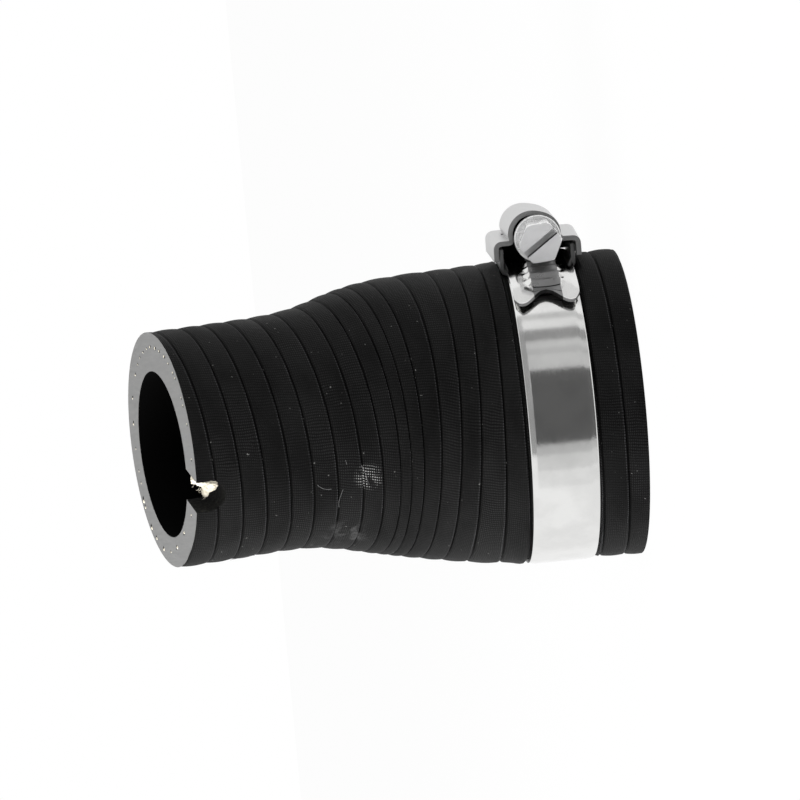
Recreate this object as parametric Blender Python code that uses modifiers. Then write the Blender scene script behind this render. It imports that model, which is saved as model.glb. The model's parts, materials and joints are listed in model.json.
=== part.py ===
"""Charge air hose: a cloth-wrapped rubber reducer with a slight bend and a worm-drive clamp.

The hose stands on its large end. +Z runs up the clamped end's axis, the small end leans to -Y,
and the clamp's housing is on the +X side with its screw head towards -Y. Lengths are in metres.
"""
import math

import bmesh
import bpy
from mathutils import Matrix, Vector

MM = 0.001
GAP = 0.3 * MM              # clearance between pieces that touch on the real hose

# Hose
LARGE_RADIUS = 28.45 * MM   # outside, at the clamped end
SMALL_RADIUS = 21.4 * MM    # outside, at the small end
WALL = 6.2 * MM
BORE_SHIFT = 0.8 * MM       # the small end's bore sits this far off centre, towards -X
STRAIGHT_END = 22 * MM      # straight length at the large end
BEND_ANGLE = math.radians(15.6)
BEND_RADIUS = 109.5 * MM
SMALL_END = 36.7 * MM       # straight length after the bend
HOSE_COLUMNS = 48
# Share of the radius step left, at each share of the centre line's length
FLARE = ((0.0, 1.0), (0.27, 0.915), (0.41, 0.755), (0.525, 0.57), (0.593, 0.395),
         (0.661, 0.17), (0.723, 0.04), (0.79, 0.0), (1.0, 0.0))
# The moulded centre line wanders sideways a little: share of its length, then the offset
SWAY = ((0.0, 0.0), (0.25, 0.0), (0.52, 1.15 * MM), (0.68, 0.7 * MM), (1.0, -0.6 * MM))

# Notch punched through the wall at the small end
NOTCH_RADIUS = 2.95 * MM
NOTCH_DEPTH = 5.3 * MM
NOTCH_ANGLE = math.radians(-24.6)   # from the -Y side, towards +X

# Clamp band
BAND_WIDTH = 12 * MM
BAND_THICKNESS = 0.7 * MM
BAND_HEIGHT = 15.1 * MM     # the band's middle above the large end face
SQUEEZE = 0.85 * MM         # how far the hose is pressed in under the band
BAND_BEAD = 0.22 * MM       # raised line near each edge
BEAD_INSET = 1.2 * MM
FIXED_END = math.radians(-8)        # angles round the clamp run from its housing towards -Y
RISE_START = math.radians(330)
RISE_END = math.radians(349)
TAIL_END = math.radians(394.7)
TAIL_LIFT = 0.9 * MM
TAIL_WAVE = 2.6 * MM        # depth of the concave middle of the tail's end
TOOTH_PITCH = 2.2 * MM
TOOTH_HEIGHT = 0.45 * MM
TOOTH_WIDTH = 6.5 * MM
TOOTH_LENGTH = 1.1 * MM
TOOTHED_LENGTH = 63 * MM    # runs back from the tail's end

# Clamp housing and its worm screw
CLAMP_TURN = math.radians(13)       # the housing sits this far round from +X towards -Y
HOUSING_LENGTH = 13 * MM
SHEET = 0.8 * MM
FLANGE_REACH = 7.85 * MM    # from the band's middle to a flange's edge
SADDLE_SHEET = 0.7 * MM
TAB_LENGTH = 9 * MM
TAB_REACH = 5.3 * MM        # how near the curled tabs come to the band's middle
WORM_RADIUS = 3.25 * MM
WORM_DEPTH = 0.75 * MM
WORM_PITCH = TOOTH_PITCH
JOURNAL_RADIUS = 1.6 * MM
COLLAR_RADIUS = 4.1 * MM
COLLAR_THICKNESS = 1.0 * MM
HEAD_FLATS = 7.0 * MM
HEAD_HEIGHT = 4.6 * MM
SLOT_WIDTH = 1.2 * MM
SLOT_DEPTH = 1.5 * MM
HEAD_TURN = math.radians(35.6)      # the slot runs square to two of the head's flats

# Worked out from the above
BEND_LENGTH = BEND_RADIUS * BEND_ANGLE
HOSE_LENGTH = STRAIGHT_END + BEND_LENGTH + SMALL_END
BAND_RADIUS = LARGE_RADIUS - SQUEEZE + GAP          # inside of the band's first turn
TAIL_RADIUS = BAND_RADIUS + BAND_THICKNESS + GAP    # inside of its overlapping end
TAIL_TOP = TAIL_RADIUS + BAND_THICKNESS
SCREW_RADIUS = TAIL_TOP + TOOTH_HEIGHT + GAP + WORM_RADIUS
HALF_SPAN = math.asin(HOUSING_LENGTH / 2 / TAIL_TOP)


def clear_scene():
    for obj in list(bpy.data.objects):
        bpy.data.objects.remove(obj)


def collection(name):
    group = bpy.data.collections.new(name)
    bpy.context.scene.collection.children.link(group)
    return group


def material(name, colour, roughness, metallic=0.0):
    mat = bpy.data.materials.new(name)
    mat.use_nodes = True
    shader = mat.node_tree.nodes["Principled BSDF"]
    shader.inputs["Base Color"].default_value = (*colour, 1)
    shader.inputs["Roughness"].default_value = roughness
    shader.inputs["Metallic"].default_value = metallic
    mat.diffuse_color = (*colour, 1)
    return mat


def mesh_object(name, bm, group):
    bmesh.ops.recalc_face_normals(bm, faces=bm.faces)
    mesh = bpy.data.meshes.new(name)
    bm.to_mesh(mesh)
    bm.free()
    obj = bpy.data.objects.new(name, mesh)
    group.objects.link(obj)
    return obj


def box(bm, low, high, turn=None):
    """A box between two corners, turned afterwards if a matrix is given."""
    low, high = Vector(low), Vector(high)
    place = Matrix.Translation((low + high) / 2) @ Matrix.Diagonal((*(high - low), 1))
    bmesh.ops.create_cube(bm, size=1, matrix=(turn or Matrix()) @ place)


def cylinder(bm, radius, low, high, segments=32, place=None, top_radius=None):
    """A cylinder or cone along Z between two heights."""
    middle = Matrix.Translation((0, 0, (low + high) / 2))
    bmesh.ops.create_cone(bm, cap_ends=True, segments=segments, radius1=radius,
                          radius2=radius if top_radius is None else top_radius,
                          depth=high - low, matrix=(place or Matrix()) @ middle)


def spun_sheet(bm, outline, half_angle, steps):
    """A closed outline of (radius, height) points swept round Z, equally to both sides of +X."""
    start = Matrix.Rotation(-half_angle, 4, "Z")
    verts = [bm.verts.new(start @ Vector((radius, 0, height))) for radius, height in outline]
    face = bm.faces.new(verts)
    bmesh.ops.spin(bm, geom=verts + list(face.edges) + [face], axis=(0, 0, 1), cent=(0, 0, 0),
                   angle=2 * half_angle, steps=steps, use_duplicate=False)


def boolean(target, tool, operation):
    """Join or cut, with the result applied to the target's mesh."""
    mod = target.modifiers.new(operation.lower(), "BOOLEAN")
    mod.object, mod.operation, mod.solver = tool, operation, "EXACT"
    apply_modifiers(target)
    tool.hide_render = True
    tool.display_type = "WIRE"


def apply_modifiers(obj):
    bpy.context.view_layer.update()
    mesh = bpy.data.meshes.new_from_object(obj.evaluated_get(bpy.context.evaluated_depsgraph_get()))
    obj.modifiers.clear()
    obj.data = mesh


def slope_at(stations, index):
    """Slope at a station: level at a turning point and where a level stretch ends."""
    secants = [(stations[i + 1][1] - stations[i][1]) / (stations[i + 1][0] - stations[i][0])
               for i in (index - 1, index) if 0 <= i < len(stations) - 1]
    before, after = secants[0], secants[-1]
    return 0 if before * after <= 0 else 2 * before * after / (before + after)


def between(stations, share):
    """Smooth value at a share of the length, through a list of (share, value) stations."""
    index = max([0] + [i for i in range(len(stations) - 1) if share >= stations[i][0]])
    (x0, y0), (x1, y1) = stations[index], stations[index + 1]
    m0, m1 = slope_at(stations, index), slope_at(stations, index + 1)
    step = x1 - x0
    t = (share - x0) / step
    return ((2 * t**3 - 3 * t**2 + 1) * y0 + (t**3 - 2 * t**2 + t) * step * m0
            + (3 * t**2 - 2 * t**3) * y1 + (t**3 - t**2) * step * m1)


def centre_line(s):
    """Point on the hose's centre line at a distance from the large end face."""
    turn = min(max(s - STRAIGHT_END, 0) / BEND_RADIUS, BEND_ANGLE)
    past = s - min(s, STRAIGHT_END + BEND_LENGTH)
    along = min(s, STRAIGHT_END) + BEND_RADIUS * math.sin(turn) + past * math.cos(turn)
    across = BEND_RADIUS * (1 - math.cos(turn)) + past * math.sin(turn)
    share = min(max(s / HOSE_LENGTH, 0), 1)
    return Vector((between(SWAY, share), -across, along))


def outer_radius(s):
    share = min(max(s / HOSE_LENGTH, 0), 1)
    return SMALL_RADIUS + (LARGE_RADIUS - SMALL_RADIUS) * between(FLARE, share)


def swept_tube(name, stations, group):
    """A solid round bar along the given (point, radius) stations."""
    curve = bpy.data.curves.new(name, "CURVE")
    curve.dimensions = "3D"
    curve.twist_mode = "MINIMUM"
    curve.bevel_depth = 1
    curve.bevel_resolution = HOSE_COLUMNS // 2 - 2
    curve.use_fill_caps = True
    spline = curve.splines.new("POLY")
    spline.points.add(len(stations) - 1)
    for point, (place, radius) in zip(spline.points, stations):
        point.co = (*place, 1)
        point.radius = radius
    source = bpy.data.objects.new(name + "_curve", curve)
    group.objects.link(source)
    bpy.context.view_layer.update()
    mesh = bpy.data.meshes.new_from_object(source.evaluated_get(bpy.context.evaluated_depsgraph_get()))
    bpy.data.objects.remove(source)
    bm = bmesh.new()
    bm.from_mesh(mesh)
    bmesh.ops.remove_doubles(bm, verts=bm.verts, dist=1e-6)
    return mesh_object(name, bm, group)


# Hose body: a swept outside with the band's seat pressed in, less the bore and the notch
def hose_body(parts, cutters):
    seat_low = BAND_HEIGHT - BAND_WIDTH / 2 - GAP
    seat_high = BAND_HEIGHT + BAND_WIDTH / 2 + GAP
    seat_radius = LARGE_RADIUS - SQUEEZE
    shoulder = 0.8 * MM
    stations = [(s, outer_radius(s)) for s in (0, seat_low / 2, seat_low - shoulder)]
    stations += [(seat_low, seat_radius), (seat_high, seat_radius),
                 (seat_high + shoulder, outer_radius(seat_high) + 0.25 * MM)]
    first = seat_high + 3 * shoulder
    rings = 20
    stations += [(s, outer_radius(s)) for s in
                 (first + (HOSE_LENGTH - first) * i / rings for i in range(rings + 1))]
    hose = swept_tube("hose_body", [(centre_line(s), radius) for s, radius in stations], parts)

    run_out = 3 * MM
    bore = []
    for i in range(15):
        s = HOSE_LENGTH * i / 14
        bore.append((centre_line(s) - Vector((BORE_SHIFT * s / HOSE_LENGTH, 0, 0)),
                     outer_radius(s) - WALL))
    (foot, foot_radius), (top, top_radius) = bore[0], bore[-1]
    bore.insert(0, (foot - Vector((0, 0, run_out)), foot_radius))
    bore.append((top + run_out * small_end_axis(), top_radius))
    boolean(hose, swept_tube("bore_cutter", bore, cutters), "DIFFERENCE")

    bm = bmesh.new()
    place = notch_frame()
    cylinder(bm, NOTCH_RADIUS, 0, 2 * SMALL_RADIUS, 24, place)
    notch = mesh_object("notch_round_cutter", bm, cutters)
    boolean(hose, notch, "DIFFERENCE")
    bm = bmesh.new()
    box(bm, (0, -NOTCH_RADIUS, 0), (2 * NOTCH_DEPTH, NOTCH_RADIUS, 2 * SMALL_RADIUS), place)
    boolean(hose, mesh_object("notch_mouth_cutter", bm, cutters), "DIFFERENCE")

    # The clamp's saddle presses a pocket into the hose under the band
    bm = bmesh.new()
    half = BAND_WIDTH / 2 + 2 * GAP + SADDLE_SHEET
    floor = BAND_RADIUS - GAP - SADDLE_SHEET - GAP
    spun_sheet(bm, ((floor, -half), (LARGE_RADIUS + WALL, -half),
                    (LARGE_RADIUS + WALL, half), (floor, half)), HALF_SPAN + 0.02, 6)
    bmesh.ops.transform(bm, verts=bm.verts, matrix=clamp_place())
    boolean(hose, mesh_object("saddle_pocket_cutter", bm, cutters), "DIFFERENCE")
    return hose


def small_end_axis():
    return Vector((0, -math.sin(BEND_ANGLE), math.cos(BEND_ANGLE)))


def notch_frame():
    """Z points out through the wall at the notch, X along the hose to the small end."""
    along = small_end_axis()
    front = along.cross(Vector((-1, 0, 0)))
    out = math.sin(NOTCH_ANGLE) * Vector((1, 0, 0)) + math.cos(NOTCH_ANGLE) * front
    middle = centre_line(HOSE_LENGTH) - (NOTCH_DEPTH - NOTCH_RADIUS) * along
    frame = Matrix((along, out.cross(along), out)).transposed().to_4x4()
    return Matrix.Translation(middle) @ frame


def yarn_tuft(parts):
    """Cut ends of the reinforcing yarn, bunched in the half of the notch nearest +X."""
    bm = bmesh.new()
    middle = SMALL_RADIUS - WALL / 2
    low = (-NOTCH_RADIUS * 0.45, GAP, middle - 1.3 * MM)
    high = (NOTCH_DEPTH - NOTCH_RADIUS - 0.2 * MM, NOTCH_RADIUS - GAP, middle + 1.9 * MM)
    box(bm, low, high)
    bmesh.ops.bevel(bm, geom=bm.edges, offset=0.5 * MM, segments=2, affect="EDGES", profile=0.5)
    bmesh.ops.transform(bm, verts=bm.verts, matrix=notch_frame())
    return mesh_object("yarn_tuft", bm, parts)


def clamp_place():
    """The clamp's own frame: Z on the hose's axis, X out through the middle of the housing."""
    return Matrix.Translation((0, 0, BAND_HEIGHT)) @ Matrix.Rotation(-CLAMP_TURN, 4, "Z")


def strip_radius(angle):
    """Inside radius of the band at an angle: a first turn, a rise, then the overlapping tail."""
    if angle < RISE_START:
        return BAND_RADIUS
    if angle < RISE_END:
        share = (angle - RISE_START) / (RISE_END - RISE_START)
        return BAND_RADIUS + (TAIL_RADIUS - BAND_RADIUS) * share * share * (3 - 2 * share)
    free = max(angle - 2 * math.pi - HALF_SPAN, 0) / (TAIL_END - 2 * math.pi - HALF_SPAN)
    return TAIL_RADIUS + TAIL_LIFT * free ** 1.5


def clamp_band(parts, cutters):
    """One strip: bent round the hose from under the housing, over itself and out as a tail."""
    rows = 74
    across = (-BAND_WIDTH / 2, -BAND_WIDTH / 2 + BEAD_INSET / 2, -BAND_WIDTH / 2 + BEAD_INSET,
              -BAND_WIDTH / 2 + 1.5 * BEAD_INSET, -1.5 * MM, 0, 1.5 * MM,
              BAND_WIDTH / 2 - 1.5 * BEAD_INSET, BAND_WIDTH / 2 - BEAD_INSET,
              BAND_WIDTH / 2 - BEAD_INSET / 2, BAND_WIDTH / 2)
    bm = bmesh.new()
    bmesh.ops.create_grid(bm, x_segments=rows, y_segments=len(across) - 1, size=0.5)
    for vert in bm.verts:
        row = round((vert.co.x + 0.5) * rows)
        column = round((vert.co.y + 0.5) * (len(across) - 1))
        height = across[column]
        wave = TAIL_WAVE * max(math.cos(math.pi * height / (0.8 * BAND_WIDTH)), 0) ** 1.5
        end = TAIL_END - wave / TAIL_RADIUS
        angle = FIXED_END + (end - FIXED_END) * row / rows
        bead = BAND_BEAD if column in (2, len(across) - 3) else 0
        radius = strip_radius(angle) + BAND_THICKNESS / 2 + bead
        vert.co = (radius * math.cos(angle), -radius * math.sin(angle), height)
    band = mesh_object("clamp_band", bm, parts)
    solidify = band.modifiers.new("thickness", "SOLIDIFY")
    solidify.thickness = BAND_THICKNESS
    solidify.offset = 0
    apply_modifiers(band)

    bm = bmesh.new()
    teeth = int(TOOTHED_LENGTH / TOOTH_PITCH)
    slant = math.atan(WORM_PITCH / (2 * math.pi * WORM_RADIUS))
    for i in range(teeth):
        angle = TAIL_END - (TAIL_WAVE + (i + 1.2) * TOOTH_PITCH) / TAIL_RADIUS
        sunk = strip_radius(angle) + BAND_THICKNESS - 0.15 * MM
        place = (Matrix.Rotation(-angle, 4, "Z") @ Matrix.Translation((sunk, 0, 0))
                 @ Matrix.Rotation(slant, 4, "X"))
        box(bm, (0, -TOOTH_LENGTH / 2, -TOOTH_WIDTH / 2),
            (0.15 * MM + TOOTH_HEIGHT, TOOTH_LENGTH / 2, TOOTH_WIDTH / 2), place)
    bmesh.ops.bevel(bm, geom=[e for e in bm.edges], offset=0.12 * MM, segments=1, affect="EDGES")
    boolean(band, mesh_object("teeth_tool", bm, cutters), "UNION")
    return band


def arch(bm, radius, foot, low, high):
    """A round-topped prism along Y over the screw's axis, from a foot level upwards."""
    turns = [math.pi * i / 16 for i in range(17)]
    outline = [(foot, radius)] + [(SCREW_RADIUS + radius * math.sin(a), radius * math.cos(a))
                                  for a in turns] + [(foot, -radius)]
    face = bm.faces.new([bm.verts.new((x, low, z)) for x, z in outline])
    wall = bmesh.ops.extrude_face_region(bm, geom=[face])["geom"]
    moved = [v for v in wall if isinstance(v, bmesh.types.BMVert)]
    bmesh.ops.translate(bm, verts=moved, vec=(0, high - low, 0))


def clamp_bridge(parts, cutters):
    """Pressed sheet: a tunnel over the worm between two curved side flanges, with a back wall."""
    inner = WORM_RADIUS + GAP
    flange_low = TAIL_TOP + GAP
    half = HOUSING_LENGTH / 2
    bm = bmesh.new()
    arch(bm, inner + SHEET, 0.9 * flange_low, -half, half)
    bridge = mesh_object("clamp_bridge", bm, parts)
    bm = bmesh.new()
    cylinder(bm, flange_low + SHEET / 2, -BAND_WIDTH, BAND_WIDTH, 96)
    boolean(bridge, mesh_object("flange_curve_cutter", bm, cutters), "DIFFERENCE")
    bm = bmesh.new()
    spun_sheet(bm, ((flange_low, -FLANGE_REACH), (flange_low + SHEET, -FLANGE_REACH),
                    (flange_low + SHEET, FLANGE_REACH), (flange_low, FLANGE_REACH)),
               HALF_SPAN + 0.01, 8)
    boolean(bridge, mesh_object("flanges_tool", bm, cutters), "UNION")

    bm = bmesh.new()
    arch(bm, inner, 0.8 * flange_low, -2 * half, half - SHEET)
    boolean(bridge, mesh_object("tunnel_cutter", bm, cutters), "DIFFERENCE")
    bm = bmesh.new()
    box(bm, (0.7 * flange_low, -3 * half, -inner), (SCREW_RADIUS - WORM_RADIUS, 3 * half, inner))
    boolean(bridge, mesh_object("teeth_path_cutter", bm, cutters), "DIFFERENCE")
    bm = bmesh.new()
    tunnel = Matrix.Translation((SCREW_RADIUS, 0, 0)) @ Matrix.Rotation(math.radians(90), 4, "X")
    cylinder(bm, JOURNAL_RADIUS + GAP, -2 * half, 0, 24, tunnel)
    boolean(bridge, mesh_object("journal_cutter", bm, cutters), "DIFFERENCE")
    return bridge


def clamp_saddle(parts, cutters):
    """Pressed sheet under the band, its sides folded up and curled over the bridge's flanges."""
    t = SADDLE_SHEET
    floor = BAND_RADIUS - GAP - t
    shelf = TAIL_TOP + GAP - GAP - t
    roof = TAIL_TOP + GAP + SHEET + GAP
    wall = BAND_WIDTH / 2 + GAP
    edge = FLANGE_REACH + GAP
    side = ((floor, wall + t), (shelf, wall + t), (shelf, edge + t), (roof + t, edge + t),
            (roof + t, TAB_REACH), (roof, TAB_REACH), (roof, edge), (shelf + t, edge),
            (shelf + t, wall), (floor + t, wall))
    outline = list(side) + [(radius, -height) for radius, height in reversed(side)]
    bm = bmesh.new()
    spun_sheet(bm, outline, HALF_SPAN, 8)
    saddle = mesh_object("clamp_saddle", bm, parts)
    # The curled tabs are shorter than the saddle
    bm = bmesh.new()
    for side_sign in (-1, 1):
        box(bm, (shelf + t, side_sign * TAB_LENGTH / 2, -2 * BAND_WIDTH),
            (roof + 2 * t, side_sign * HOUSING_LENGTH, 2 * BAND_WIDTH))
    boolean(saddle, mesh_object("tab_cutter", bm, cutters), "DIFFERENCE")
    return saddle


def worm_screw(parts, cutters):
    """Slotted hex head and collar, worm, and a journal riveted over behind the bridge's wall."""
    half = HOUSING_LENGTH / 2
    collar_low = half + GAP
    head_low = collar_low + COLLAR_THICKNESS
    root = WORM_RADIUS - WORM_DEPTH
    worm_low, worm_high = -half + SHEET + 2 * GAP, half - 2 * GAP

    worm = thread(worm_low, worm_high, root, parts)
    bm = bmesh.new()
    cylinder(bm, root, worm_high - 0.5 * MM, collar_low + 0.5 * MM, 24)
    boolean(worm, mesh_object("neck_tool", bm, cutters), "UNION")
    bm = bmesh.new()
    cylinder(bm, COLLAR_RADIUS, collar_low, head_low, 40)
    boolean(worm, mesh_object("collar_tool", bm, cutters), "UNION")

    bm = bmesh.new()
    corner = HEAD_FLATS / 2 / math.cos(math.pi / 6)
    head_turn = Matrix.Rotation(HEAD_TURN, 4, "Z")
    flats_turn = head_turn @ Matrix.Rotation(math.radians(30), 4, "Z")
    cylinder(bm, corner, head_low - 0.3 * MM, head_low + HEAD_HEIGHT, 6, flats_turn)
    head = mesh_object("head_tool", bm, cutters)
    bm = bmesh.new()
    cylinder(bm, corner + HEAD_HEIGHT, head_low - 1 * MM, head_low + HEAD_HEIGHT, 48,
             top_radius=HEAD_FLATS / 2 - 0.4 * MM)
    boolean(head, mesh_object("crown_cutter", bm, cutters), "INTERSECT")
    bm = bmesh.new()
    top = head_low + HEAD_HEIGHT
    box(bm, (-HEAD_FLATS, -SLOT_WIDTH / 2, top - SLOT_DEPTH),
        (HEAD_FLATS, SLOT_WIDTH / 2, top + 1 * MM), head_turn @ Matrix.Rotation(math.radians(90), 4, "Z"))
    boolean(head, mesh_object("slot_cutter", bm, cutters), "DIFFERENCE")
    boolean(worm, head, "UNION")

    bm = bmesh.new()
    cylinder(bm, JOURNAL_RADIUS, -half - GAP - 0.2 * MM, worm_low + 0.5 * MM, 24)
    boolean(worm, mesh_object("journal_tool", bm, cutters), "UNION")
    bm = bmesh.new()
    cylinder(bm, JOURNAL_RADIUS + 0.7 * MM, -half - GAP - 0.6 * MM, -half - GAP, 24)
    boolean(worm, mesh_object("rivet_tool", bm, cutters), "UNION")
    return worm


def thread(low, high, root, parts):
    """A worm between two heights: one pitch of its outline, screwed up Z, trimmed and capped."""
    p = WORM_PITCH
    start = low - 2 * p
    profile = ((root, 0), (root, 0.42 * p), (WORM_RADIUS, 0.58 * p), (WORM_RADIUS, 0.84 * p),
               (root, p))
    bm = bmesh.new()
    verts = [bm.verts.new((radius, 0, start + height)) for radius, height in profile]
    for a, b in zip(verts, verts[1:]):
        bm.edges.new((a, b))
    mesh = bpy.data.meshes.new("clamp_screw")
    bm.to_mesh(mesh)
    bm.free()
    obj = bpy.data.objects.new("clamp_screw", mesh)
    parts.objects.link(obj)
    mod = obj.modifiers.new("worm", "SCREW")
    mod.axis = "Z"
    mod.screw_offset = p
    mod.iterations = math.ceil((high - low) / p) + 3
    mod.steps = mod.render_steps = 24
    mod.use_merge_vertices = True
    mod.merge_threshold = 0.00001
    apply_modifiers(obj)
    bm = bmesh.new()
    bm.from_mesh(obj.data)
    bmesh.ops.remove_doubles(bm, verts=bm.verts, dist=1e-6)
    for height, up in ((low, -1), (high, 1)):
        bmesh.ops.bisect_plane(bm, geom=bm.verts[:] + bm.edges[:] + bm.faces[:],
                               plane_co=(0, 0, height), plane_no=(0, 0, up), clear_outer=True)
        rim = [e for e in bm.edges if e.is_boundary
               and all(abs(v.co.z - height) < 1e-7 for v in e.verts)]
        bmesh.ops.edgeloop_fill(bm, edges=rim)
    bmesh.ops.recalc_face_normals(bm, faces=bm.faces)
    bm.to_mesh(obj.data)
    bm.free()
    return obj


def build():
    clear_scene()
    parts = collection("charge_air_hose")
    cutters = collection("cutters")
    root = bpy.data.objects.new("charge_air_hose", None)
    clamp = bpy.data.objects.new("clamp_frame", None)
    screw_axis = bpy.data.objects.new("screw_axis", None)
    for empty in (root, clamp, screw_axis):
        parts.objects.link(empty)
    clamp.matrix_world = clamp_place()
    screw_axis.location = (SCREW_RADIUS, 0, 0)
    screw_axis.rotation_euler = (math.radians(90), 0, 0)

    rubber = material("black_rubber", (0.018, 0.018, 0.019), 0.62)
    yarn = material("cream_yarn", (0.72, 0.67, 0.55), 0.95)
    steel = material("stainless_band", (0.62, 0.62, 0.61), 0.28, 1.0)
    pressed = material("pressed_steel", (0.60, 0.60, 0.60), 0.33, 1.0)
    saddle_steel = material("saddle_steel", (0.58, 0.58, 0.58), 0.35, 1.0)
    plated = material("plated_screw", (0.56, 0.57, 0.58), 0.3, 1.0)

    nodes = ((hose_body(parts, cutters), rubber, root), (yarn_tuft(parts), yarn, root),
             (clamp_band(parts, cutters), steel, clamp),
             (clamp_bridge(parts, cutters), pressed, clamp),
             (clamp_saddle(parts, cutters), saddle_steel, clamp),
             (worm_screw(parts, cutters), plated, screw_axis))
    for node, mat, parent in nodes:
        node.data.materials.clear()
        node.data.materials.append(mat)
        node.parent = parent
    clamp.parent = root
    screw_axis.parent = clamp

    # The origin is the middle of the whole hose's footprint
    bpy.context.view_layer.update()
    corners = [node.matrix_world @ vert.co for node, _, _ in nodes for vert in node.data.vertices]
    middle = [(min(c[i] for c in corners) + max(c[i] for c in corners)) / 2 for i in (0, 1)]
    root.location = (-middle[0], -middle[1], -min(c.z for c in corners))
    cutters.hide_render = True


build()
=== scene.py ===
# %% [markdown]
# # A charge air hose with its clamp
# This short moulded hose carries air from a cooler to an engine. Its wall is rubber with
# woven cloth inside, and it was cured with a wet cloth tape wound tightly round it. The tape is
# pulled off afterwards, and what it leaves is the whole look of the piece: a helix of fine
# grooves, and between them the print of a weave. A worm-drive clamp sits on the large end.
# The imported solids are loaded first. They are the fixed frame that every piece fits round.

# %% Load the frame
import json
import math
import random

import bpy
import mathutils
from mathutils import Matrix, Vector


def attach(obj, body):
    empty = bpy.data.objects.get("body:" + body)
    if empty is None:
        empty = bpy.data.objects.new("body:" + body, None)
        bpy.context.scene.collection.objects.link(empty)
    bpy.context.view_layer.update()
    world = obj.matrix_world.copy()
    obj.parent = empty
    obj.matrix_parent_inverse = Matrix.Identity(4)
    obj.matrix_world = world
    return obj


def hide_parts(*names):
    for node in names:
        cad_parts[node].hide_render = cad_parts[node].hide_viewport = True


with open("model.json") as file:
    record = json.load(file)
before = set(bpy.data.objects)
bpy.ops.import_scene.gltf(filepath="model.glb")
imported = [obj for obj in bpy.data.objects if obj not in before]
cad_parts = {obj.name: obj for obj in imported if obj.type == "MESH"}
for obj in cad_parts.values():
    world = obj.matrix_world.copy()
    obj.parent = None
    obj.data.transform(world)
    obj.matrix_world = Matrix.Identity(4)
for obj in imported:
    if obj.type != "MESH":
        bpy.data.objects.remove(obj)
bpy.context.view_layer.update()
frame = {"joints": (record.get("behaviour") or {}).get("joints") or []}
MM = 0.001

# %% [markdown]
# Blender's operators act on whatever is selected, so each step starts by selecting nothing and
# then one object. These small helpers keep that in one place. A finished piece gets its place
# baked into its mesh, so that its object sits at the origin as the solids' objects do.


# %% Small helpers
def only(obj):
    """Select this object alone and make it the active one."""
    bpy.ops.object.select_all(action="DESELECT")
    obj.select_set(True)
    bpy.context.view_layer.objects.active = obj
    return obj


def edit(obj, kind="FACE"):
    """Open the object in edit mode with everything selected."""
    only(obj)
    bpy.ops.object.mode_set(mode="EDIT")
    bpy.ops.mesh.select_mode(type=kind)
    bpy.ops.mesh.select_all(action="SELECT")


def leave_edit():
    bpy.ops.object.mode_set(mode="OBJECT")


def modifier(obj, kind, **settings):
    """Add a modifier, set it and apply it."""
    only(obj)
    bpy.ops.object.modifier_add(type=kind)
    added = obj.modifiers[-1]
    for key, value in settings.items():
        setattr(added, key, value)
    bpy.ops.object.modifier_apply(modifier=added.name)
    return obj


def cut(obj, tool, operation="DIFFERENCE"):
    """Join or cut with another object, which is then removed."""
    modifier(obj, "BOOLEAN", object=tool, operation=operation, solver="EXACT",
             material_mode="TRANSFER")
    bpy.data.objects.remove(tool)
    return obj


def merge(obj, distance=1e-6):
    """Weld points that share a place, and turn the faces outwards."""
    edit(obj, "VERT")
    bpy.ops.mesh.remove_doubles(threshold=distance)
    bpy.ops.mesh.normals_make_consistent(inside=False)
    leave_edit()


def close_ends(obj):
    """Fill the open ends of a tube."""
    edit(obj, "EDGE")
    bpy.ops.mesh.select_all(action="DESELECT")
    bpy.ops.mesh.select_non_manifold()
    bpy.ops.mesh.fill_holes(sides=0)
    bpy.ops.mesh.select_all(action="SELECT")
    bpy.ops.mesh.normals_make_consistent(inside=False)
    leave_edit()


def bevel(obj, width, segments=2, sharper=60, **settings):
    """Round the edges that turn by more than an angle in degrees."""
    return modifier(obj, "BEVEL", width=width, segments=segments, limit_method="ANGLE",
                    angle_limit=math.radians(sharper), **settings)


def settle(obj, name, place=None):
    """Name the piece and bake its place into its mesh."""
    if place is not None:
        obj.matrix_world = place @ obj.matrix_world
    only(obj)
    bpy.ops.object.transform_apply(location=True, rotation=True, scale=True)
    obj.name = obj.data.name = name
    return obj


def added(name):
    obj = bpy.context.object
    obj.name = name
    return obj


def smooth(obj, degrees=35):
    only(obj)
    bpy.ops.object.shade_smooth_by_angle(angle=math.radians(degrees))
    return obj


def grid(name, columns, rows):
    """A flat grid, one metre square, with that many faces each way."""
    bpy.ops.object.select_all(action="DESELECT")
    bpy.ops.mesh.primitive_grid_add(x_subdivisions=columns, y_subdivisions=rows, size=1)
    return added(name)


def bend_grid(obj, columns, rows, place):
    """Move each grid point to place(column, row); the grid's own UVs stay."""
    for vert in obj.data.vertices:
        column = round((vert.co.x + 0.5) * columns)
        row = round((vert.co.y + 0.5) * rows)
        vert.co = place(column, row)


def bent(name, columns, rows, place, *materials, weld=1e-6):
    """A finished sheet: a grid with its materials, bent into place and welded."""
    sheet = grid(name, columns, rows)
    if materials:
        give(sheet, *materials)
    bend_grid(sheet, columns, rows, place)
    merge(sheet, weld)
    return sheet


def ease(x):
    """0 to 1 in a soft step."""
    x = min(max(x, 0), 1)
    return x * x * (3 - 2 * x)


# %% [markdown]
# Materials come next. Each one starts from the Principled shader's own sockets, and texture
# nodes then vary the colour, the roughness and the bump. A node takes either a fixed number or
# the output of another node, so one small helper can wire both. The helpers add their nodes to
# the tree of the material that was opened last.

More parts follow.
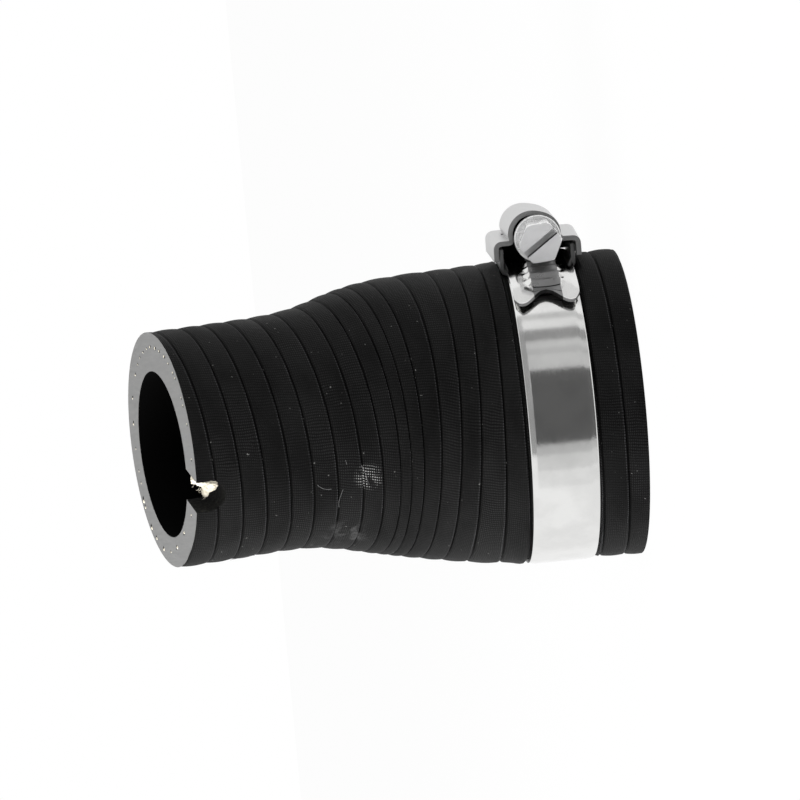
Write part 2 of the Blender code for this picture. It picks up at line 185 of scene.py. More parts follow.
# %% Material helpers
def finish(name, colour, roughness, metallic=0.0, shine=0.5):
    """Open a new material; gives its Principled shader."""
    global tree
    material = bpy.data.materials.new(name)
    material.use_nodes = True
    tree = material.node_tree
    shader = tree.nodes["Principled BSDF"]
    shader.inputs["Base Color"].default_value = (*colour, 1)
    shader.inputs["Roughness"].default_value = roughness
    shader.inputs["Metallic"].default_value = metallic
    shader.inputs["Specular IOR Level"].default_value = shine
    return shader


def plug(socket, value):
    """Feed a socket from another node's output, or set it to a fixed value."""
    if isinstance(value, bpy.types.NodeSocket):
        tree.links.new(value, socket)
    else:
        socket.default_value = value


def node(kind, inputs=(), **settings):
    """A shader node, with its inputs fed and its settings made."""
    made = tree.nodes.new("ShaderNode" + kind)
    for key, value in settings.items():
        setattr(made, key, value)
    for key, value in dict(inputs).items():
        plug(made.inputs[key], value)
    return made


def maths(operation, first, second=0.0, third=0.0):
    made = node("Math", operation=operation)
    for socket, value in zip(made.inputs, (first, second, third)):
        plug(socket, value)
    return made.outputs[0]


def times(first, second):
    return maths("MULTIPLY", first, second)


def noise(where, scale, detail=2.0, roughness=0.5):
    made = node("TexNoise", {"Vector": where, "Scale": scale, "Detail": detail,
                             "Roughness": roughness})
    return made.outputs["Fac"]


def stretched(where, scale):
    """Coordinates squeezed or stretched along the axes."""
    return node("Mapping", {"Vector": where, "Scale": scale}).outputs["Vector"]


def step(value, low, high, low_out=0.0, high_out=1.0):
    """A soft step from low to high."""
    made = node("MapRange", {"Value": value, "From Min": low, "From Max": high,
                             "To Min": low_out, "To Max": high_out},
                interpolation_type="SMOOTHSTEP")
    return made.outputs["Result"]


def away_from(place, spot):
    """How far each point of the surface is from a spot."""
    made = node("VectorMath", {0: place, 1: spot}, operation="DISTANCE")
    return made.outputs["Value"]


def grey(level):
    return (level, level, level)


def mixed(share, first, second):
    """A colour between two others."""
    made = node("Mix", data_type="RGBA")
    plug(made.inputs[0], share)
    for socket, colour in ((made.inputs[6], first), (made.inputs[7], second)):
        plug(socket, (*colour, 1) if isinstance(colour, tuple) else colour)
    return made.outputs[2]


def bump(shader, height, distance, strength=1.0):
    made = node("Bump", {"Height": height, "Distance": distance, "Strength": strength})
    plug(shader.inputs["Normal"], made.outputs["Normal"])


def object_place():
    return node("TexCoord").outputs["Object"]


def give(obj, *materials):
    """Put these materials in the object's slots."""
    obj.data.materials.clear()
    for material in materials:
        obj.data.materials.append(bpy.data.materials[material])


# %% [markdown]
# The hose's own sizes, in millimetres turned to metres. The outside follows a bent centre line
# and a flare. Both are smooth curves through a few stations, each given as a share of the
# length. The place of the clamped end's axis comes from the clamp screw's joint in the frame.

# %% Hose sizes
LARGE_RADIUS, SMALL_RADIUS, WALL = 28.45 * MM, 21.4 * MM, 6.2 * MM
BORE_SHIFT = 0.8 * MM
STRAIGHT_END, SMALL_END = 22 * MM, 36.7 * MM
BEND_ANGLE, BEND_RADIUS = math.radians(15.6), 109.5 * MM
BEND_LENGTH = BEND_ANGLE * BEND_RADIUS
HOSE_LENGTH = STRAIGHT_END + BEND_LENGTH + SMALL_END
FLARE = ((0.0, 1.0), (0.27, 0.915), (0.41, 0.755), (0.525, 0.57), (0.593, 0.395),
         (0.661, 0.17), (0.723, 0.04), (0.79, 0.0), (1.0, 0.0))
SWAY = ((0.0, 0.0), (0.25, 0.0), (0.52, 1.1 * MM), (0.68, 0.55 * MM), (0.79, 0.05 * MM),
        (0.9, -0.5 * MM), (1.0, -0.9 * MM))

GAP = 0.3 * MM
BAND_WIDTH, BAND_THICKNESS, BAND_HEIGHT = 12 * MM, 0.7 * MM, 15.1 * MM
SQUEEZE = 0.85 * MM
BAND_RADIUS = LARGE_RADIUS - SQUEEZE + GAP
TAIL_RADIUS = BAND_RADIUS + BAND_THICKNESS + GAP
TAIL_TOP = TAIL_RADIUS + BAND_THICKNESS
TOOTH_HEIGHT, TOOTH_PITCH = 0.45 * MM, 2.2 * MM
WORM_RADIUS = 3.25 * MM
SCREW_RADIUS = TAIL_TOP + TOOTH_HEIGHT + GAP + WORM_RADIUS
HOUSING_LENGTH = 13 * MM
CLAMP_TURN = math.radians(13)

screw_place = Vector(frame["joints"][0]["pos_m"])
out_to_screw = Vector((math.cos(CLAMP_TURN), -math.sin(CLAMP_TURN), 0))
AXIS = screw_place - SCREW_RADIUS * out_to_screw
AXIS.z = 0
CLAMP = (Matrix.Translation(AXIS + Vector((0, 0, BAND_HEIGHT)))
         @ Matrix.Rotation(-CLAMP_TURN, 4, "Z"))
print("hose length", round(HOSE_LENGTH * 1000, 1), "mm, clamped end's axis at", AXIS)


# %% [markdown]
# Between two stations the curve is a cubic whose slopes match its neighbours'. The hose's
# outside is then a radius round the centre line.

# %% The centre line and the outside
PROBE = 0.5 * MM


def slope_at(stations, index):
    """Slope at a station: level at a turning point and where a level stretch ends."""
    secants = [(stations[i + 1][1] - stations[i][1]) / (stations[i + 1][0] - stations[i][0])
               for i in (index - 1, index) if 0 <= i < len(stations) - 1]
    before, after = secants[0], secants[-1]
    return 0 if before * after <= 0 else 2 * before * after / (before + after)


def between(stations, share):
    """Smooth value at a share of the length."""
    index = max([0] + [i for i in range(len(stations) - 1) if share >= stations[i][0]])
    (x0, y0), (x1, y1) = stations[index], stations[index + 1]
    m0, m1 = slope_at(stations, index), slope_at(stations, index + 1)
    span = x1 - x0
    t = (share - x0) / span
    return ((2 * t**3 - 3 * t**2 + 1) * y0 + (t**3 - 2 * t**2 + t) * span * m0
            + (3 * t**2 - 2 * t**3) * y1 + (t**3 - t**2) * span * m1)


def centre_line(s):
    """Point on the centre line at a distance from the large end."""
    turn = min(max(s - STRAIGHT_END, 0) / BEND_RADIUS, BEND_ANGLE)
    past = s - min(s, STRAIGHT_END + BEND_LENGTH)
    along = min(s, STRAIGHT_END) + BEND_RADIUS * math.sin(turn) + past * math.cos(turn)
    across = BEND_RADIUS * (1 - math.cos(turn)) + past * math.sin(turn)
    sway = between(SWAY, min(max(s / HOSE_LENGTH, 0), 1))
    return AXIS + Vector((sway, -across, along))


def direction(s):
    """Direction of the centre line, which stays as it is past either end."""
    s = min(max(s, PROBE), HOSE_LENGTH - PROBE)
    return (centre_line(s + PROBE) - centre_line(s - PROBE)).normalized()


def outer_radius(s):
    """Radius of the outside before the tape's print and the clamp."""
    share = min(max(s / HOSE_LENGTH, 0), 1)
    return SMALL_RADIUS + (LARGE_RADIUS - SMALL_RADIUS) * between(FLARE, share)


def on_hose(s, angle, radius):
    """A point round the centre line; the angle runs from the -Y side towards +X."""
    along = direction(s)
    front = along.cross(Vector((-1, 0, 0))).normalized()
    side = along.cross(front)
    return centre_line(s) + radius * (math.sin(angle) * side + math.cos(angle) * front)


print("small end's middle", centre_line(HOSE_LENGTH))

# %% [markdown]
# The cloth tape leaves the print of a plain weave: ribs that run along the hose, half a
# millimetre apart, each a row of small dots. The skin's "cloth" map is in real millimetres, so
# the ribs are sine waves of that pitch, shifted a little by noise because the tape was never
# quite square. The rubber is a very dark, dull grey. The grooves are painted darker still, as
# painted shade.

# %% Ribs and dots of the tape's print
RIB_PITCH, DOT_PITCH = 0.52, 0.36
SCUFF_SHINE = on_hose(HOSE_LENGTH - 31.5 * MM, math.radians(-25), outer_radius(57 * MM))
SMUDGE = on_hose(HOSE_LENGTH - 29 * MM, math.radians(-62), outer_radius(58 * MM))

shader = finish("wrapped_rubber", grey(0.005), 0.6, shine=0.05)
place = object_place()
cloth = node("UVMap", uv_map="cloth").outputs["UV"]
tape = node("UVMap", uv_map="tape").outputs["UV"]
cloth_axes = node("SeparateXYZ", {"Vector": cloth}).outputs
turn_count = node("SeparateXYZ", {"Vector": tape}).outputs["X"]
turn_share = maths("FRACT", turn_count)
turn_index = maths("FLOOR", turn_count)
wander = times(noise(cloth, 0.12, 3), 1.6)
lean = maths("MULTIPLY_ADD", cloth_axes["Y"], 0.1, wander)
across_ribs = maths("ADD", cloth_axes["X"], lean)
along_rib = maths("MULTIPLY_ADD", noise(cloth, 0.3, 2), 0.5, cloth_axes["Y"])
rib_wave = maths("SINE", times(across_ribs, 2 * math.pi / RIB_PITCH))
rib = maths("MULTIPLY_ADD", rib_wave, 0.5, 0.5)
dot_wave = maths("SINE", times(along_rib, 2 * math.pi / DOT_PITCH))
dot = times(rib, maths("MULTIPLY_ADD", dot_wave, 0.45, 0.55))
grain = noise(place, 4200, 3)
height = maths("MULTIPLY_ADD", grain, 0.5, dot)
bump(shader, height, 0.06 * MM, 0.9)
print("print of the weave every", RIB_PITCH, "and", DOT_PITCH, "mm")

# %% [markdown]
# The colour is built in layers, each mixed over the last: cloudy black, the paler dots, a row
# of bright dots at the tape's edge, painted shade in the grooves, a scuff with a painted
# highlight on its dots, a smudge and specks of lint.

# %% Colour of the wrapped rubber
patchy = noise(stretched(cloth, (0.5, 1.0, 1.0)), 0.16, 3)
print_strength = step(patchy, 0.3, 0.6, 0.35, 1.0)
cloud = step(noise(place, 70, 5, 0.6), 0.35, 0.68)
shade = mixed(cloud, grey(0.0022), grey(0.0046))
turn_tone = node("TexWhiteNoise", {"W": turn_index}, noise_dimensions="1D")
turn_tone = turn_tone.outputs["Value"]
dot_tone = times(times(dot, print_strength),
                 maths("MULTIPLY_ADD", turn_tone, 0.35, 0.5))
shade = mixed(dot_tone, shade, grey(0.02))
edge_row = times(step(turn_share, 0.88, 0.91),
                 step(turn_share, 0.965, 0.935))
shade = mixed(times(edge_row, times(dot, 0.75)), shade,
              (0.05, 0.05, 0.052))
# Painted shade in the grooves.
groove_shade = maths("MAXIMUM", step(turn_share, 0.075, 0.01),
               step(turn_share, 0.945, 0.985))
shade = mixed(times(groove_shade, 0.85), shade, grey(0.0012))
# A rubbed scuff whose raised dots are painted pale: real rubbing and a painted highlight.
scuffed_shine = times(step(away_from(place, SCUFF_SHINE), 3.0 * MM, 1.2 * MM),
                step(noise(place, 700, 3), 0.38, 0.55))
shade = mixed(times(scuffed_shine, step(dot, 0.35, 0.8)), shade,
              (0.24, 0.24, 0.235))
smudged = times(step(away_from(place, SMUDGE), 5.5 * MM, 1.5 * MM),
                step(noise(place, 420, 4, 0.7), 0.45, 0.7))
shade = mixed(times(smudged, 0.35), shade, grey(0.09))
lint = step(noise(place, 1500, 1), 0.765, 0.81)
shade = mixed(times(lint, 0.7), shade, (0.15, 0.15, 0.145))
plug(shader.inputs["Base Color"], shade)
plug(shader.inputs["Roughness"], maths("MULTIPLY_ADD", cloud, 0.12, 0.5))
print("wrapped rubber", len(tree.nodes), "nodes")

# %% [markdown]
# Where a blade cut the hose to length the rubber is paler and flat, with the faint drag lines
# of the blade. Inside the bore it is smooth and black. The notch was punched, which tears the
# rubber and its cloth, so its wall is rough. Its very dark colour is painted shade.

# %% Cut rubber, bore and notch
shader = finish("cut_rubber", grey(0.3), 0.75, shine=0.2)
place = object_place()
drag = noise(stretched(place, (1.0, 0.12, 0.12)), 1400, 4, 0.6)
mottle = noise(place, 260, 4)
shade = mixed(drag, grey(0.2), (0.3, 0.3, 0.295))
shade = mixed(step(mottle, 0.35, 0.7, 0.0, 0.5), shade, grey(0.25))
plug(shader.inputs["Base Color"], shade)
bump(shader, drag, 0.03 * MM)

shader = finish("bore_rubber", grey(0.0012), 0.6, shine=0.02)
bump(shader, noise(object_place(), 600, 3), 0.05 * MM)

# Torn rubber for the notch's wall and the yarn pits, painted very dark as painted shade.
shader = finish("torn_shaded_rubber", grey(0.012), 0.85, shine=0.15)
place = object_place()
torn = noise(place, 1800, 5, 0.7)
shade = mixed(step(torn, 0.4, 0.75), grey(0.003), (0.02, 0.02, 0.018))
plug(shader.inputs["Base Color"], shade)
bump(shader, torn, 0.25 * MM)
print("rubbers", [m.name for m in bpy.data.materials if m.name.endswith("_rubber")])

# %% [markdown]
# The skin starts as a flat grid. Wound round the centre line with each column a little further
# along than the last, its rows turn into one continuous helix, as the tape was: after a full
# turn, a row meets the one that is a tape's pitch further on. Rows can then be set close together
# at the tape's edge, where the groove is, and wide apart between. The pitch was never even. It
# is read off the photograph's grooves as distances from the small end.

# %% The tape's turns
GROOVES = [d * MM for d in (-10.5, -6.0, -1.5, 3.2, 7.8, 12.2, 16.8, 21.1, 25.6, 30.0, 33.6,
                            36.9, 39.5, 42.7, 47.2, 52.1, 56.7, 62.1, 66.7, 71.0, 75.5, 80.0,
                            84.6, 89.0, 93.5, 98.0)]
GROOVE_DEPTH, TAPE_CROWN = 0.32 * MM, 0.2 * MM
TAPE_ROWS = (0, 0.035, 0.08, 0.16, 0.26, 0.36, 0.46, 0.56, 0.66, 0.76, 0.86, 0.92, 0.965)
COLUMNS = 168
turns = len(GROOVES) - 3
row_turn = [n + share for n in range(turns) for share in TAPE_ROWS] + [turns]
GROOVE_STATIONS = tuple(enumerate(GROOVES))
LEAN, LEAN_CHANGE, LEAN_FROM, LEAN_OVER = 0.75, 1.1, 36 * MM, 22 * MM
BULGE, BULGE_AWAY, BULGE_WIDTH = 0.35 * MM, 1.3 * MM, 1.0 * MM
SEAT_SLOPE, SEAT_START = 0.7 * MM, 0.9
POCKET_TURN, POCKET_PAST_BAND, POCKET_DEPTH = 0.3, 1.5 * MM, 1.3 * MM


def tape_lean(d):
    """How far the tape's turns lean, as a shift at the +X side."""
    return (LEAN - LEAN_CHANGE * ease((d - LEAN_FROM) / LEAN_OVER)) * MM


def helix_place(turn, angle):
    """Distance from the small end of a point on the tape, by its turn and its angle."""
    here = min(max(turn + 1.0 - angle / (2 * math.pi), 0), len(GROOVES) - 1.001)
    return between(GROOVE_STATIONS, here)


def tape_shape(share):
    """Height across one turn of tape: a groove at each edge and a slight crown between."""
    near = min(share / 0.09, (1 - share) / 0.06)
    return TAPE_CROWN * math.sin(math.pi * share) - GROOVE_DEPTH * (1 - ease(near))


def pressed_radius(s, angle, free):
    """The rubber is pressed in under the band, a little deeper under the clamp's saddle."""
    half = BAND_WIDTH / 2
    away = abs(s - BAND_HEIGHT)
    inside = half + GAP - away
    free += BULGE * math.exp(-(((s - BAND_HEIGHT - half - BULGE_AWAY) / BULGE_WIDTH) ** 2))
    radius = free + (LARGE_RADIUS - SQUEEZE - free) * ease(inside / SEAT_SLOPE + SEAT_START)
    turn = abs(math.remainder(angle - (math.pi / 2 - CLAMP_TURN), 2 * math.pi))
    pocket = ease((POCKET_TURN - turn) / 0.06)
    pocket *= ease((half + POCKET_PAST_BAND - away) / (0.6 * MM))
    return radius + (BAND_RADIUS - POCKET_DEPTH - radius) * pocket


print("tape turns", turns, "rows", len(row_turn))

# %% [markdown]
# The grid's own UVs say which column and row each corner came from. They become two maps: one
# counts the tape's turns, and the other measures the cloth in millimetres.


# %% Wind the skin
def skin_place(column, row):
    turn = row_turn[row]
    angle = -math.pi + 2 * math.pi * column / COLUMNS
    d = helix_place(turn, angle)
    s = HOSE_LENGTH - (d - tape_lean(d) * math.sin(angle))
    free = outer_radius(s) + tape_shape(turn % 1)
    return on_hose(s, angle, pressed_radius(s, angle, free))


def tape_uvs(obj):
    """Two maps: 'cloth' in millimetres along and across the tape, 'tape' in turns and angle."""
    mesh = obj.data
    mesh.uv_layers[0].name = "tape"
    mesh.uv_layers.new(name="cloth")
    tape, cloth = mesh.uv_layers["tape"].data, mesh.uv_layers["cloth"].data
    last = len(row_turn) - 1
    for face in mesh.polygons:
        rows = [round(tape[i].uv.y * last) for i in face.loop_indices]
        turn = math.floor(row_turn[min(rows)] + 1e-6)
        middle = HOSE_LENGTH - between(GROOVE_STATIONS, turn + 1.5)
        for i, row in zip(face.loop_indices, rows):
            angle = 2 * math.pi * (tape[i].uv.x - 0.5)
            d = helix_place(row_turn[row], angle)
            cloth[i].uv = (angle * outer_radius(middle) / MM + turn * 7.3, d / MM)
            tape[i].uv = (row_turn[row], angle / (2 * math.pi))


skin = grid("hose_skin", COLUMNS, len(row_turn) - 1)
give(skin, "wrapped_rubber", "cut_rubber")
tape_uvs(skin)
bend_grid(skin, COLUMNS, len(row_turn) - 1, skin_place)
merge(skin, 2e-6)
print("skin", len(skin.data.polygons), "faces")


# %% [markdown]
# The wound skin is longer than the hose at both ends and its rims are ragged, as the rubber is
# when it comes out of the mould. It is cut square with bisect, which also fills the cut. The
# bore is a second, smooth tapered form that is subtracted.

# %% Trim the ends and bore the hose
SQUARE_ON, LEAST_CUT = 0.9999, 100 * MM * MM


def trim(obj, point, normal):
    """Cut an end off square; the filled cut takes the second material."""
    edit(obj)
    bpy.ops.mesh.bisect(plane_co=point, plane_no=normal, use_fill=True, clear_outer=True,
                        clear_inner=False, threshold=1e-7)
    leave_edit()
    for face in obj.data.polygons:
        if face.normal.dot(Vector(normal)) > SQUARE_ON and face.area > LEAST_CUT:
            face.material_index = 1


end_point, end_axis = centre_line(HOSE_LENGTH), direction(HOSE_LENGTH)
trim(skin, AXIS, (0, 0, -1))
trim(skin, end_point, end_axis)

CORE_ROWS, CORE_PAST_END = 40, 3 * MM


def core_place(column, row):
    s = -CORE_PAST_END + (HOSE_LENGTH + 2 * CORE_PAST_END) * row / CORE_ROWS
    angle = 2 * math.pi * column / COLUMNS
    shift = Vector((BORE_SHIFT * min(max(s / HOSE_LENGTH, 0), 1), 0, 0))
    return on_hose(s, angle, outer_radius(s) - WALL) - shift


core = bent("bore_core", COLUMNS, CORE_ROWS, core_place, "bore_rubber")
close_ends(core)
cut(skin, core)
print("bored hose", len(skin.data.polygons), "faces")

# %% [markdown]
# The notch was punched through the wall: a round end and a straight mouth. Two solids are set
# in the notch's own frame, with X out of the hose's end and Z out through the wall.

# %% Punch the notch
NOTCH_RADIUS, NOTCH_DEPTH, NOTCH_ANGLE = 2.95 * MM, 5.3 * MM, math.radians(-24.6)
PUNCH_LENGTH, PUNCH_MIDDLE, MOUTH_LENGTH = 30 * MM, 25 * MM, 20 * MM
notch_out = (on_hose(HOSE_LENGTH, NOTCH_ANGLE, 1) - end_point).normalized()
NOTCH = (Matrix.Translation(end_point - (NOTCH_DEPTH - NOTCH_RADIUS) * end_axis)
         @ Matrix((end_axis, notch_out.cross(end_axis), notch_out)).transposed().to_4x4())
bpy.ops.mesh.primitive_cylinder_add(vertices=48, radius=NOTCH_RADIUS, depth=PUNCH_LENGTH,
                                    location=(0, 0, PUNCH_MIDDLE))
round_punch = settle(added("round_punch"), "round_punch", NOTCH)
give(round_punch, "torn_shaded_rubber")
cut(skin, round_punch)
bpy.ops.mesh.primitive_cube_add(size=1, location=(MOUTH_LENGTH / 2, 0, PUNCH_MIDDLE),
                                scale=(MOUTH_LENGTH, 2 * NOTCH_RADIUS, PUNCH_LENGTH))
mouth_punch = settle(added("mouth_punch"), "mouth_punch", NOTCH)
give(mouth_punch, "torn_shaded_rubber")
cut(skin, mouth_punch)
smooth(settle(skin, "hose_skin"), 40)
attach(skin, "hose")
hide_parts("hose_body")
print("hose after cuts", len(skin.data.polygons), "faces")

# %% [markdown]
# The punch left a frayed tuft of cream yarn in the notch. Four soft lumps are united, remeshed
# into one fine skin, and each point is pushed along its normal by noise.

# %% Yarn tuft in the notch
shader = finish("cream_yarn", (0.44, 0.4, 0.3), 0.9, shine=0.1)
place = object_place()
strands = noise(stretched(place, (1.0, 0.25, 0.6)), 3800, 4, 0.7)
# The darker streaks between the strands are painted shade.
plug(shader.inputs["Base Color"],
     mixed(step(strands, 0.32, 0.6), (0.2, 0.16, 0.1), (0.46, 0.42, 0.34)))
bump(shader, strands, 0.15 * MM)

TUFT_HEIGHT, FRAY, FRAY_SCALE = 18.6 * MM, 0.2, 2300
# Each lump: its place in the notch and its three radii, in millimetres.
LUMPS = (((-0.9, -0.9), (1.5, 1.35, 0.9)), ((0.75, -1.75), (1.0, 0.75, 0.7)),
         ((1.95, -2.35), (0.6, 0.85, 0.6)), ((-0.15, 0.3), (0.7, 1.0, 0.6)))
tuft = None
for (x, y), radii in LUMPS:
    bpy.ops.mesh.primitive_ico_sphere_add(subdivisions=4, radius=MM, scale=radii,
                                          location=(x * MM, y * MM, TUFT_HEIGHT))
    lump = settle(added("lump"), "lump")
    give(lump, "cream_yarn")
    tuft = cut(tuft, lump, "UNION") if tuft else lump
modifier(tuft, "REMESH", mode="VOXEL", voxel_size=0.11 * MM)
for vert in tuft.data.vertices:
    fray = mathutils.noise.fractal(vert.co * FRAY_SCALE, 0.8, 2.0, 3)
    vert.co += vert.normal * FRAY * MM * fray
give(tuft, "cream_yarn")
settle(tuft, "yarn_fibres", NOTCH)
smooth(tuft, 60)
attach(tuft, "hose")
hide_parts("yarn_tuft")
print("tuft", len(tuft.data.polygons), "faces")

# %% [markdown]
# Loose hairs stand out of the tuft. A hair is a smooth path with a thin round section, turned
# into a mesh. The dice are seeded, so the hairs come out the same each time.


# %% Loose hairs
def hair(name, points, width, material):
    """A loose hair: a thin smooth tube through a few points."""
    bpy.ops.curve.primitive_nurbs_path_add()
    made = added(name)
    spline = made.data.splines[0]
    spline.points.add(max(len(points) - len(spline.points), 0))
    for i, control in enumerate(spline.points):
        control.co = (*points[min(i, len(points) - 1)], 1)
    made.data.bevel_depth = width / 2
    made.data.bevel_resolution = 1
    made.data.resolution_u = 5
    only(made)
    bpy.ops.object.convert(target="MESH")
    give(made, material)
    return made


def join(pieces, name):
    """Make one piece of several."""
    bpy.ops.object.select_all(action="DESELECT")
    for piece in pieces:
        piece.select_set(True)
    bpy.context.view_layer.objects.active = pieces[0]
    bpy.ops.object.join()
    return settle(pieces[0], name)


dice = random.Random(4)
hairs = []
for i in range(15):
    (x, y), radii = LUMPS[dice.choice((0, 0, 1, 2, 3, 3))]
    way = math.radians(dice.uniform(-30, 150))
    reach = dice.uniform(0.6, 1.2)
    start = Vector((x + 0.8 * radii[0] * math.cos(way), y + 0.8 * radii[1] * math.sin(way), 0))
    curl = Vector((math.cos(way + dice.uniform(-0.8, 0.8)),
                   math.sin(way + dice.uniform(-0.3, 0.8)), 0))
    points = []
    for t in (0, 0.25, 0.5, 0.75, 1):
        level = Vector((0, 0, TUFT_HEIGHT + dice.uniform(-0.2, 0.5) * MM))
        wriggle = Vector((0, 0.12 * math.sin(3 * t), 0.15 * math.sin(4 * t)))
        points.append(NOTCH @ (start * MM + level + reach * t * curl * MM + wriggle * MM))
    hairs.append(hair("yarn_hair", points, 0.035 * MM, "cream_yarn"))
hairs = join(hairs, "yarn_hairs")
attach(hairs, "hose")
print("hairs", len(hairs.data.polygons), "faces")

# %% [markdown]
# On the cut face the ends of single yarns stand proud, each beside the pit that it was
# pulled from, painted dark as painted shade. Both are flattened spheres. The list gives the
# degrees round the face, the distance from its middle and the size, in millimetres.

# %% Yarn ends on the cut face
END_SHAPE, PIT_SHAPE = (0.8, 0.6, 0.5), (1.15, 0.85, 0.2)
YARN_ENDS = (
    (92, 18.6, .2), (74, 19.1, .3), (57, 19.8, .3), (42, 20.2, .25), (38, 20.3, .2),
    (110, 18.3, .2), (128, 18.1, .25), (147, 18.5, .25), (163, 18.3, .3), (26, 20.4, .2),
    (22, 20.2, .2), (12, 20.2, .2), (-6, 19.6, .2), (-153, 20.0, .45), (-149, 20.1, .3),
    (-136, 20.4, .4), (-127, 20.2, .3), (-114, 19.9, .35), (-85, 17.9, .4), (-63, 17.0, .3),
    (178, 18.4, .2), (-169, 18.7, .2), (-162, 18.9, .2), (66, 19.4, .25), (84, 18.9, .25),
    (50, 20.0, .2), (101, 18.4, .2), (-40, 18.6, .2), (118, 18.2, .2), (-100, 19.0, .25))
ends, pits = [], []
face_turn = end_axis.to_track_quat("Z", "Y")
for degrees, reach, wide in YARN_ENDS:
    angle = math.radians(degrees)
    spot = on_hose(HOSE_LENGTH, angle, reach * MM)
    aside = (on_hose(HOSE_LENGTH, angle + 0.02, reach * MM) - spot).normalized() * 0.6 * wide * MM
    for kept, shift, radii in ((ends, aside, END_SHAPE), (pits, -aside, PIT_SHAPE)):
        bpy.ops.mesh.primitive_ico_sphere_add(
            subdivisions=2, radius=wide * MM, location=spot + shift,
            rotation=face_turn.to_euler(), scale=radii)
        kept.append(added("yarn_end"))
        give(kept[-1], "cream_yarn" if kept is ends else "torn_shaded_rubber")
ends, pits = join(ends, "yarn_ends"), join(pits, "yarn_pits")
for piece, slot in ((ends, "cream_yarn"), (pits, "black_rubber")):
    smooth(piece, 60)
    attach(piece, "hose")
print("yarn ends", len(YARN_ENDS))

# %% [markdown]
# A few hairs of grey lint cling to the rubber. Each is laid through points that are given by
# the distance from the small end in millimetres and the degrees round the hose.

# %% Lint
LINT = (((27.5, -16), (28.3, -22), (27.6, -30), (25.9, -36), (26.6, -41)),
        ((22.3, -27), (23.4, -31), (24.9, -30)), ((30.2, -19), (31.0, -23), (31.4, -28)),
        ((9.4, -86), (10.3, -80), (11.8, -81), (12.6, -78), (13.4, -81)))
finish("grey_lint", grey(0.12), 0.8)
lint_hairs = []
for points in LINT:
    route = [(HOSE_LENGTH - d * MM, math.radians(a)) for d, a in points]
    route = [on_hose(s, a, outer_radius(s) + TAPE_CROWN) for s, a in route]
    lint_hairs.append(hair("lint_hair", route, 0.06 * MM, "grey_lint"))
lint_hairs = join(lint_hairs, "lint_hairs")
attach(lint_hairs, "hose")
print("hairs of lint", len(LINT))

# %% [markdown]
# The clamp is bright steel in three kinds of finish. The strip is rolled, so it is smooth with
# faint scratches along it. The housing and its saddle are pressed from sheet, which leaves them
# a little orange-peeled. The cut edges of both are dull. The screw is plated. What lies inside
# the clamp, the housing's inner side and the louvres' feet are given a dark steel that is painted
# shade.

# %% Steels
def steel(name, colour, roughness, peel, streak, metallic=1.0):
    """Bright steel with a soft unevenness and fine streaks along one way."""
    shader = finish(name, colour, roughness, metallic)
    place = object_place()
    wear = noise(stretched(place, streak), 700, 4, 0.6)
    worn = step(wear, 0.3, 0.75, roughness * 0.75, roughness * 1.35)
    plug(shader.inputs["Roughness"], worn)
    tone = step(noise(place, 160, 3), 0.35, 0.7)
    darker = tuple(c * 0.9 for c in colour)
    plug(shader.inputs["Base Color"], mixed(tone, colour, darker))
    uneven = maths("MULTIPLY_ADD", wear, 0.3, noise(place, 420, 2))
    bump(shader, uneven, peel)


ALONG_STRIP, NO_STREAK = (1.0, 1.0, 12.0), (1.0, 1.0, 1.0)
steel("rolled_steel", (0.81, 0.81, 0.8), 0.12, 0.008 * MM, ALONG_STRIP)
steel("rubbed_steel", grey(0.24), 0.35, 0.02 * MM, NO_STREAK, 0.8)
steel("pressed_steel", grey(0.9), 0.22, 0.02 * MM, NO_STREAK)
steel("sheet_edge", grey(0.2), 0.4, 0.04 * MM, NO_STREAK, 0.4)
steel("plated_steel", grey(0.8), 0.25, 0.004 * MM, NO_STREAK, 0.55)
steel("faced_steel", (0.46, 0.46, 0.465), 0.45, 0.006 * MM, NO_STREAK, 0.25)
# Dark steel as painted shade, for what lies inside the clamp and the louvres' feet.
steel("painted_shade_steel", grey(0.02), 0.45, 0.02 * MM, NO_STREAK)
steel("slot_steel", grey(0.13), 0.45, 0.06 * MM, NO_STREAK)
print("materials", len(bpy.data.materials))

# %% [markdown]
# The band is one strip. It starts under the housing, goes once round the hose, climbs over its
# own start and comes out of the housing as the free tail. Its inside radius is written as a
# function of the angle round the clamp, so that a flat grid can be bent along that path.

# %% The strip's path
FIXED_END, RISE_START, RISE_END = math.radians(-8), math.radians(330), math.radians(349)
TAIL_END, TAIL_LIFT = math.radians(397.7), 0.7 * MM
TOOTHED_LENGTH, LOUVRE_HEIGHT = 63 * MM, 0.85 * MM
HALF_SPAN = math.asin(HOUSING_LENGTH / 2 / TAIL_TOP)
ACROSS = (0, 1.0, 1.8, 2.3, 2.8, 3.3, 3.8, 4.3, 4.75, 4.95, 5.2, 5.5, 5.8, 6.0)
EDGE_ZONE, EDGE_DROP = 1.2 * MM, 0.22 * MM
across_band = [-a * MM for a in reversed(ACROSS[1:])] + [a * MM for a in ACROSS]
PLAIN_COLUMNS, PER_TOOTH = 110, 8
teeth = int(TOOTHED_LENGTH / TOOTH_PITCH)
TOOTHED_TURN = teeth * TOOTH_PITCH / TAIL_RADIUS
strip_columns = PLAIN_COLUMNS + teeth * PER_TOOTH
NEAR_END, PLAIN_TIP, LOUVRE_BOW = 3.4 * MM, 3.85 * MM, 0.5 * MM


def on_clamp(radius, angle, height):
    """A point in the clamp's own frame; angles run from the housing towards the -Y side."""
    return CLAMP @ Vector((radius * math.cos(angle), -radius * math.sin(angle), height))


